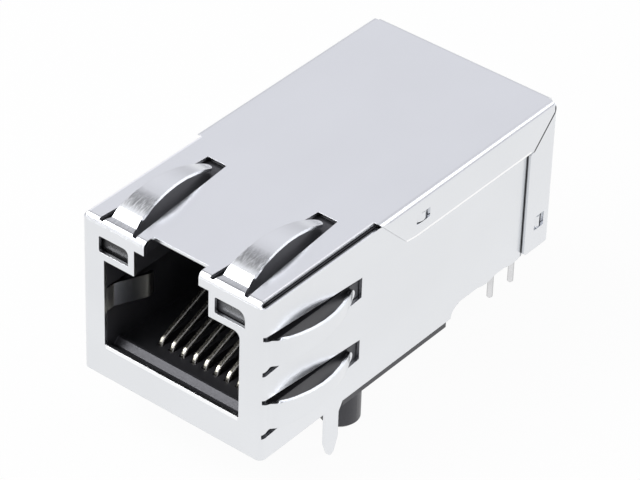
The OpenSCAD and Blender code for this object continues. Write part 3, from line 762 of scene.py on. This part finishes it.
class JACK_OT_magnetics(bpy.types.Operator):
    """Make the ring cores, their wire and the solder, and finish the circuit board and its chips"""

    bl_idname = "jack.magnetics"
    bl_label = "Magnetics"

    def execute(self, context):
        settings = context.scene.jack_magnetics
        finish_node("circuit_board", laminate(settings))
        ferrite = sintered(settings)
        copper = enamelled_copper(settings)
        for core in [name for name in NODES if "_core_" in name]:
            softened(core, core.replace("core", "ring"), ferrite, "ferrite", settings.edge_width)
        for core in [name for kind in WOUND_ARC for name in numbered(f"{kind}_core")]:
            wire = core.replace("core", "turns")
            place(wire, wound(wire, core, settings.wire_pitch), copper, "copper_wire",
                  core.replace("core", "winding"))
        board_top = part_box("circuit_board")[1].z
        place("signal_solder", solder_fillets("signal_solder", numbered("signal_pin"), board_top),
              plated("solder", SOLDER, rough=0.3, tarnish=0.15), "pin_tin")
        resistor = chip_body("resistor_body", "resistor_1", "Y", RESISTOR_BLACK, cap=0.3)
        for name in numbered("resistor"):
            finish_node(name, resistor)
        finish_node("capacitor", chip_body("capacitor_body", "capacitor", "X", CAPACITOR_TAN, cap=0.5))
        return {"FINISHED"}


# ---- Stage ----


def seen_rays(tree, straight=1.0):
    """A share of the camera's own rays, and all rays off or through the jack's metal, gloss and lenses."""
    path = tree.nodes.new("ShaderNodeLightPath")
    own = tree.nodes.new("ShaderNodeMath")
    own.operation = "MULTIPLY"
    own.inputs[1].default_value = straight
    tree.links.new(path.outputs["Is Camera Ray"], own.inputs[0])
    total = own.outputs["Value"]
    for ray in ("Is Glossy Ray", "Is Transmission Ray"):
        most = tree.nodes.new("ShaderNodeMath")
        most.operation = "MAXIMUM"
        tree.links.new(total, most.inputs[0])
        tree.links.new(path.outputs[ray], most.inputs[1])
        total = most.outputs["Value"]
    return total


def floor_paper(colour):
    """Plain pale paper that turns white before the camera and in what the jack mirrors."""
    material = bpy.data.materials.new("floor_paper")
    material.use_nodes = True
    tree = material.node_tree
    tree.nodes.clear()
    paper = tree.nodes.new("ShaderNodeBsdfDiffuse")
    paper.inputs["Color"].default_value = shade(colour)
    glow = tree.nodes.new("ShaderNodeEmission")
    mix = tree.nodes.new("ShaderNodeMixShader")
    output = tree.nodes.new("ShaderNodeOutputMaterial")
    tree.links.new(seen_rays(tree, FLOOR_WHITE), mix.inputs["Fac"])
    tree.links.new(paper.outputs["BSDF"], mix.inputs[1])
    tree.links.new(glow.outputs["Emission"], mix.inputs[2])
    tree.links.new(mix.outputs["Shader"], output.inputs["Surface"])
    return material


def lay_floor(settings):
    """Lays the floor just under the jack's lowest point."""
    shape = bmesh.new()
    bmesh.ops.create_grid(shape, x_segments=1, y_segments=1, size=settings.floor_size / 2,
                          matrix=Matrix.Translation((0, 0, LOWEST - FLOOR_GAP * MM)))
    mesh = bpy.data.meshes.new("floor")
    shape.to_mesh(mesh)
    shape.free()
    mesh.materials.append(floor_paper(settings.floor_colour))
    floor = bpy.data.objects.new("floor", mesh)
    bpy.context.scene.collection.objects.link(floor)


def light_world(settings):
    """Sets an even light all round, and a sky with a white horizon and a greyer top for the metal to show."""
    world = bpy.data.worlds.new("studio")
    bpy.context.scene.world = world
    world.use_nodes = True
    tree = world.node_tree
    directions = tree.nodes.new("ShaderNodeTexCoord")
    axes = tree.nodes.new("ShaderNodeSeparateXYZ")
    tree.links.new(directions.outputs["Generated"], axes.inputs["Vector"])
    ramp = tree.nodes.new("ShaderNodeValToRGB")
    stops = ramp.color_ramp.elements
    stops[0].color, stops[1].color = HORIZON, ZENITH
    for height, grey in SKY:
        stops.new(height).color = (grey, grey, grey * SKY_BLUE, 1)
    tree.links.new(axes.outputs["Z"], ramp.inputs["Fac"])
    strength = tree.nodes.new("ShaderNodeMapRange")
    strength.inputs["To Min"].default_value = settings.world_strength
    strength.inputs["To Max"].default_value = 1.0
    tree.links.new(seen_rays(tree), strength.inputs["Value"])
    background = tree.nodes["Background"]
    tree.links.new(ramp.outputs["Color"], background.inputs["Color"])
    tree.links.new(strength.outputs["Result"], background.inputs["Strength"])


def hang_lamp(name, stand, width, power):
    """Hangs a round soft lamp that faces the jack."""
    light = bpy.data.lights.new(name, "AREA")
    light.shape = "DISK"
    light.size = width
    light.energy = power
    lamp = bpy.data.objects.new(name, light)
    lamp.location = stand
    lamp.rotation_euler = (-Vector(stand)).to_track_quat("-Z", "Y").to_euler()
    bpy.context.scene.collection.objects.link(lamp)


class JACK_OT_camera(bpy.types.Operator):
    """Place the camera above the port's right-hand corner"""

    bl_idname = "jack.camera"
    bl_label = "Camera"

    def execute(self, context):
        settings = context.scene.jack_studio
        lens = bpy.data.cameras.new("jack_camera")
        lens.sensor_width = settings.sensor_width
        lens.lens = settings.focal_length
        lens.clip_start = 0.01
        camera = bpy.data.objects.new("jack_camera", lens)
        camera.location = settings.camera_place
        camera.rotation_euler = settings.camera_turn
        context.scene.collection.objects.link(camera)
        context.scene.camera = camera
        return {"FINISHED"}


class JACK_OT_stage(bpy.types.Operator):
    """Lay the pale floor and set the soft studio light"""

    bl_idname = "jack.stage"
    bl_label = "Studio"

    def execute(self, context):
        settings = context.scene.jack_studio
        context.scene.view_settings.view_transform = "Standard"
        lay_floor(settings)
        light_world(settings)
        for name, (stand, width) in LAMPS.items():
            hang_lamp(name, stand, width, getattr(settings, name))
        return {"FINISHED"}


OPERATORS = (
    JACK_OT_camera,
    JACK_OT_shield,
    JACK_OT_plastics,
    JACK_OT_lamps,
    JACK_OT_contacts,
    JACK_OT_magnetics,
    JACK_OT_stage,
)


class JACK_PT_panel(bpy.types.Panel):
    """Lists the jack's settings, its pieces and its studio"""

    bl_idname = "JACK_PT_panel"
    bl_label = "Board jack"
    bl_space_type = "VIEW_3D"
    bl_region_type = "UI"
    bl_category = "Board jack"

    def draw(self, context):
        for name, kind in SETTINGS.items():
            column = self.layout.column(align=True)
            for key in kind.__annotations__:
                column.prop(getattr(context.scene, name), key)
        for operator in OPERATORS:
            self.layout.operator(operator.bl_idname)


def register():
    """Adds the settings, the operators and the panel."""
    for kind in (*SETTINGS.values(), *OPERATORS, JACK_PT_panel):
        bpy.utils.register_class(kind)
    for name, kind in SETTINGS.items():
        setattr(bpy.types.Scene, name, PointerProperty(type=kind))


def unregister():
    """Takes them away again."""
    for name in SETTINGS:
        delattr(bpy.types.Scene, name)
    for kind in reversed((*SETTINGS.values(), *OPERATORS, JACK_PT_panel)):
        bpy.utils.unregister_class(kind)


def main():
    """Makes every piece and the stage."""
    register()
    bpy.ops.jack.camera()
    bpy.ops.jack.shield()
    bpy.ops.jack.plastics()
    bpy.ops.jack.lamps()
    bpy.ops.jack.contacts()
    bpy.ops.jack.magnetics()
    bpy.ops.jack.stage()


if __name__ == "__main__":
    main()
